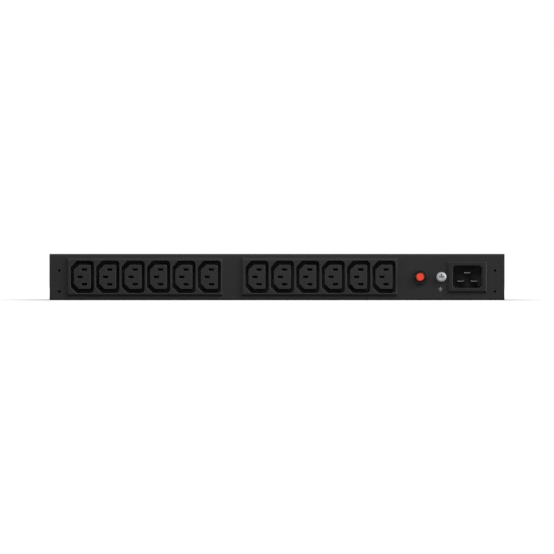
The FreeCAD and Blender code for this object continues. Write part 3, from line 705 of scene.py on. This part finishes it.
class POWERUNIT_OT_outlets(bpy.types.Operator):
    """Rounds and finishes the outlet blocks, their cores and the trays behind them"""

    bl_idname = "power_unit.outlets"
    bl_label = "Outlets"

    def execute(self, context):
        finish = context.scene.power_unit_finish
        width = context.scene.power_unit_detail.moulding_edge
        # Glass-filled nylon from a spark-eroded mould: matt, with a fine even grain
        nylon = moulded_plastic(
            "Moulded black nylon", finish.nylon, roughness=0.6, grain=0.3 * MM, depth=0.03 * MM,
            shine=0.06,
        )
        for side in ("left", "right"):
            rounded_piece("outlet_face_" + side, "outlet_bezel_" + side, width, nylon)
        for core in OUTLET_CORES:
            rounded_piece(core, core.replace("core", "socket"), width, nylon)
        # Unfilled nylon of the trays: greyer and smoother
        tray = moulded_plastic(
            "Moulded grey nylon", finish.tray, roughness=0.5, grain=0.4 * MM, depth=0.02 * MM, shine=0.3,
        )
        for side in ("left", "right"):
            dress("outlet_back_" + side, tray)
        return {"FINISHED"}


class POWERUNIT_OT_inlet(bpy.types.Operator):
    """Rounds and finishes the mains inlet and its blades"""

    bl_idname = "power_unit.inlet"
    bl_label = "Mains inlet"

    def execute(self, context):
        finish = context.scene.power_unit_finish
        detail = context.scene.power_unit_detail
        # Nylon from a finer mould than the outlets: smoother, with a tighter grain
        nylon = moulded_plastic(
            "Moulded inlet nylon", finish.inlet, roughness=0.55, grain=0.22 * MM, depth=0.02 * MM,
            shine=0.07,
        )
        rounded_piece("inlet_body", "inlet_moulding", detail.moulding_edge, nylon)
        # Nickel on brass: warm grey, drawn along the blade
        nickel = plated_metal(
            "Nickel-plated brass", finish.nickel, roughness=0.22, streak=0.15 * MM, along=1,
        )
        for name in ("line", "neutral", "earth"):
            rounded_piece(
                "inlet_%s_pin" % name, "inlet_%s_blade" % name, detail.metal_edge, nickel,
            )
        for name in ("line", "load"):
            dress("breaker_%s_terminal" % name, nickel)
        return {"FINISHED"}


class POWERUNIT_OT_breaker(bpy.types.Operator):
    """Rounds and finishes the breaker, its nut and its button"""

    bl_idname = "power_unit.breaker"
    bl_label = "Breaker"

    def execute(self, context):
        finish = context.scene.power_unit_finish
        detail = context.scene.power_unit_detail
        # Phenolic: hard, black and faintly speckled
        phenolic = moulded_plastic(
            "Moulded black phenolic", finish.case, roughness=0.5, grain=0.25 * MM, depth=0.01 * MM,
            shine=0.05,
        )
        rounded_piece("breaker_body", "breaker_case", detail.metal_edge, phenolic)
        # Black oxide on a stamped steel nut: dark with a dull metal sheen
        oxide = plated_metal(
            "Black-oxide steel", finish.oxide, roughness=0.5, streak=0.3 * MM, along=0,
            metallic=0.2, shine=0.1,
        )
        rounded_piece("breaker_nut", "breaker_clamp_nut", detail.nut_edge, oxide)
        # Polycarbonate: smooth, with only a faint grain, and painted shade in a deep tone on the bevel and
        # slopes round its face
        red = moulded_plastic(
            "Moulded red polycarbonate", finish.button, roughness=0.38, grain=0.5 * MM, depth=0.006 * MM,
            shine=0.12, edge_tone=0.07,
        )
        # The bevel and the slopes round the button's face take the deep edge tone as painted shade
        rounded_piece(
            "breaker_button", "reset_button_cap", detail.button_edge, red,
            body=BUTTON, toned_slopes=True,
        )
        return {"FINISHED"}


class POWERUNIT_OT_earth_point(bpy.types.Operator):
    """Finishes the earth screw, what is clamped behind it, and prints the earth mark below it"""

    bl_idname = "power_unit.earth_point"
    bl_label = "Earth point"

    def execute(self, context):
        finish = context.scene.power_unit_finish
        detail = context.scene.power_unit_detail
        low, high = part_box("ground_screw")
        middle = (low + high) / 2
        zinc = turned_zinc(finish.zinc, middle)
        rounded_piece("ground_screw", "earth_screw", detail.metal_edge, zinc)
        dress("ground_nut", zinc)
        # Hot tin over copper: soft, pale and slightly uneven
        tin = plated_metal("Tinned copper", finish.tin, roughness=0.4, streak=0.4 * MM, along=0)
        for lug in ("earth_lug_inlet", "earth_lug_outlets"):
            dress(lug, tin)
        panel_y = mount("bracket_holes")["pos_m"][1]
        place = (middle.x - detail.mark_shift, panel_y - detail.ink_film / 2, middle.z - detail.mark_drop)
        grown_piece("earth_mark_print", earth_mark_tree(), [place], {
            "Widest bar": detail.mark_width, "Stroke": detail.mark_stroke, "Step": detail.mark_step,
            "Stem": detail.mark_stem, "Film": detail.ink_film, "Finish": printed_ink(finish.print_ink),
        })
        return {"FINISHED"}


class POWERUNIT_OT_wiring(bpy.types.Operator):
    """Finishes the bus strips, the push-on terminals and the wires"""

    bl_idname = "power_unit.wiring"
    bl_label = "Wiring"

    def execute(self, context):
        finish = context.scene.power_unit_finish
        # Half-hard brass strip, rolled along its length, with long faint lines; its colour is kept dark as
        # painted shade inside the outlet slots
        brass = plated_metal("Dull rolled brass", finish.brass, roughness=0.55, streak=0.2 * MM, along=0)
        for name in ("line", "neutral", "earth"):
            dress(name + "_strip", brass)
        # Clear nylon of the push-on terminals: milky, smooth and a little glossy
        boot = moulded_plastic(
            "Moulded clear nylon", finish.boot, roughness=0.4, grain=0.6 * MM, depth=0.01 * MM, shine=0.5,
        )
        dress("terminal_boots", boot)
        line = wire_insulation("Brown PVC", finish.line)
        for wire in ("line_feed_wire", "line_load_wire"):
            dress(wire, line)
        dress("neutral_feed_wire", wire_insulation("Blue PVC", finish.neutral))
        earth = wire_insulation("Green and yellow PVC", finish.earth, finish.stripe)
        for wire in ("earth_feed_wire", "earth_bond_wire"):
            dress(wire, earth)
        return {"FINISHED"}


def seen_rays(tree):
    """1 for rays that come from the camera, a reflection or a clear piece, and 0 for the others."""
    path = add_node(tree, "ShaderNodeLightPath").outputs
    seen = add_node(tree, "ShaderNodeMath", {
        0: path["Is Camera Ray"], 1: path["Is Glossy Ray"],
    }, operation="MAXIMUM")
    seen = add_node(tree, "ShaderNodeMath", {
        0: seen.outputs["Value"], 1: path["Is Transmission Ray"],
    }, operation="MAXIMUM")
    return seen.outputs["Value"]


def white_world(fill):
    """Even fill light, with a white background behind it."""
    world = bpy.data.worlds.new("White studio")
    world.use_nodes = True
    tree = world.node_tree
    tree.nodes.clear()
    even = add_node(tree, "ShaderNodeBackground", {"Color": WHITE, "Strength": fill})
    white = add_node(tree, "ShaderNodeBackground", {"Color": WHITE, "Strength": 1.0})
    both = add_node(tree, "ShaderNodeMixShader", {
        0: seen_rays(tree), 1: even.outputs["Background"], 2: white.outputs["Background"],
    })
    add_node(tree, "ShaderNodeOutputWorld", {"Surface": both.outputs["Shader"]})
    return world


def white_floor(stage):
    """Pale floor that takes the unit's shadow and fades to white further off; its glow is held back close
    to the unit, which paints a contact shade round it.
    """
    material, tree, place = new_material("Pale studio floor")
    low, high = cad_box
    off = add_node(tree, "ShaderNodeVectorMath", {0: place, 1: (low + high) / 2}, operation="SUBTRACT")
    size = add_node(tree, "ShaderNodeVectorMath", {0: off.outputs["Vector"]}, operation="ABSOLUTE")
    past = add_node(tree, "ShaderNodeVectorMath", {
        0: size.outputs["Vector"], 1: (high - low) / 2,
    }, operation="SUBTRACT")
    out = add_node(tree, "ShaderNodeVectorMath", {
        0: past.outputs["Vector"], 1: (0.0, 0.0, 0.0),
    }, operation="MAXIMUM")
    distance = add_node(tree, "ShaderNodeVectorMath", {0: out.outputs["Vector"]}, operation="LENGTH")
    # Glow held back near the unit: painted contact shade round it
    near = add_node(tree, "ShaderNodeMapRange", {
        "Value": distance.outputs["Value"], "From Min": 0.0, "From Max": stage.floor_touch,
        "To Min": 0.0, "To Max": stage.floor_white,
    })
    fade = add_node(tree, "ShaderNodeMapRange", {
        "Value": distance.outputs["Value"], "From Min": stage.floor_near, "From Max": stage.floor_far,
        "To Min": near.outputs["Result"], "To Max": 1.0,
    })
    seen = seen_rays(tree)
    tone = add_node(tree, "ShaderNodeMix", {
        "Factor": seen, "A": paint(stage.floor_bounce), "B": paint(stage.floor),
    }, data_type="RGBA")
    matt = add_node(tree, "ShaderNodeBsdfDiffuse", {"Color": tone.outputs["Result"]})
    lift = add_node(tree, "ShaderNodeMath", {0: seen, 1: fade.outputs["Result"]}, operation="MULTIPLY")
    glow = add_node(tree, "ShaderNodeEmission", {"Color": WHITE, "Strength": lift.outputs["Value"]})
    both = add_node(tree, "ShaderNodeAddShader", {0: matt.outputs["BSDF"], 1: glow.outputs["Emission"]})
    add_node(tree, "ShaderNodeOutputMaterial", {"Surface": both.outputs["Shader"]})
    return material


def softbox(name, place, target, size, watts):
    """Square area lamp that faces a target."""
    lamp = bpy.data.lights.new(name, "AREA")
    lamp.energy = watts
    lamp.size = size
    made = bpy.data.objects.new(name, lamp)
    made.location = place
    made.rotation_euler = (target - place).to_track_quat("-Z", "Y").to_euler()
    bpy.context.scene.collection.objects.link(made)
    return made


class POWERUNIT_OT_stage(bpy.types.Operator):
    """Sets the camera, the lamps, the floor and the background"""

    bl_idname = "power_unit.stage"
    bl_label = "Stage"

    def execute(self, context):
        scene = context.scene
        stage = scene.power_unit_stage
        low, high = cad_box
        panel_y = mount("bracket_holes")["pos_m"][1]
        middle = Vector(((low.x + high.x) / 2, panel_y, (low.z + high.z) / 2))
        view = bpy.data.cameras.new("Front camera")
        view.lens = view.sensor_width * stage.camera_distance / stage.picture_width
        camera = bpy.data.objects.new("Front camera", view)
        camera.location = middle - Vector((0, stage.camera_distance, 0))
        camera.rotation_euler = (math.pi / 2, 0, 0)
        scene.collection.objects.link(camera)
        scene.camera = camera
        for name in ("key", "front", "eye", "rim", "side", "back"):
            place = middle + Vector(getattr(stage, name + "_place"))
            size = getattr(stage, name + "_size")
            watts = getattr(stage, name + "_power")
            lamp = softbox(name.capitalize() + " softbox", place, middle, size, watts)
            # The eye softbox stands where flat metal would mirror it straight into the camera
            lamp.visible_glossy = name != "eye"
        reach = stage.floor_reach
        corners = [(reach * i, reach * j, low.z) for i, j in ((-1, -1), (1, -1), (1, 1), (-1, 1))]
        floor_mesh = bpy.data.meshes.new("studio_floor")
        floor_mesh.from_pydata(corners, [], [(0, 1, 2, 3)])
        floor_mesh.materials.append(white_floor(stage))
        floor = bpy.data.objects.new("studio_floor", floor_mesh)
        scene.collection.objects.link(floor)
        scene.world = white_world(stage.fill)
        scene.view_settings.view_transform = "Standard"
        return {"FINISHED"}


class POWERUNIT_PT_sidebar(bpy.types.Panel):
    """Lists the unit's settings and building steps"""

    bl_idname = "POWERUNIT_PT_sidebar"
    bl_label = "Rack Power Unit"
    bl_space_type = "VIEW_3D"
    bl_region_type = "UI"
    bl_category = "Power Unit"

    def draw(self, context):
        layout = self.layout
        for step in STEPS:
            layout.operator(step.bl_idname)
        for name in SETTINGS:
            group = getattr(context.scene, name)
            box = layout.box()
            for key in group.bl_rna.properties.keys():
                if key not in ("rna_type", "name"):
                    box.prop(group, key)


SETTINGS = {
    "power_unit_finish": PowerUnitFinish,
    "power_unit_detail": PowerUnitDetail,
    "power_unit_stage": PowerUnitStage,
}
STEPS = (
    POWERUNIT_OT_case,
    POWERUNIT_OT_bracket_holes,
    POWERUNIT_OT_cover_screws,
    POWERUNIT_OT_outlets,
    POWERUNIT_OT_inlet,
    POWERUNIT_OT_breaker,
    POWERUNIT_OT_earth_point,
    POWERUNIT_OT_wiring,
    POWERUNIT_OT_stage,
)


def register():
    """Adds the settings, the steps and the sidebar panel."""
    for name, group in SETTINGS.items():
        bpy.utils.register_class(group)
        setattr(bpy.types.Scene, name, bpy.props.PointerProperty(type=group))
    for step in STEPS:
        bpy.utils.register_class(step)
    bpy.utils.register_class(POWERUNIT_PT_sidebar)


def unregister():
    """Takes out what register added."""
    bpy.utils.unregister_class(POWERUNIT_PT_sidebar)
    for step in reversed(STEPS):
        bpy.utils.unregister_class(step)
    for name, group in SETTINGS.items():
        delattr(bpy.types.Scene, name)
        bpy.utils.unregister_class(group)


def main():
    """Runs every step in order."""
    register()
    bpy.ops.power_unit.case()
    bpy.ops.power_unit.bracket_holes()
    bpy.ops.power_unit.cover_screws()
    bpy.ops.power_unit.outlets()
    bpy.ops.power_unit.inlet()
    bpy.ops.power_unit.breaker()
    bpy.ops.power_unit.earth_point()
    bpy.ops.power_unit.wiring()
    bpy.ops.power_unit.stage()


if __name__ == "__main__":
    main()
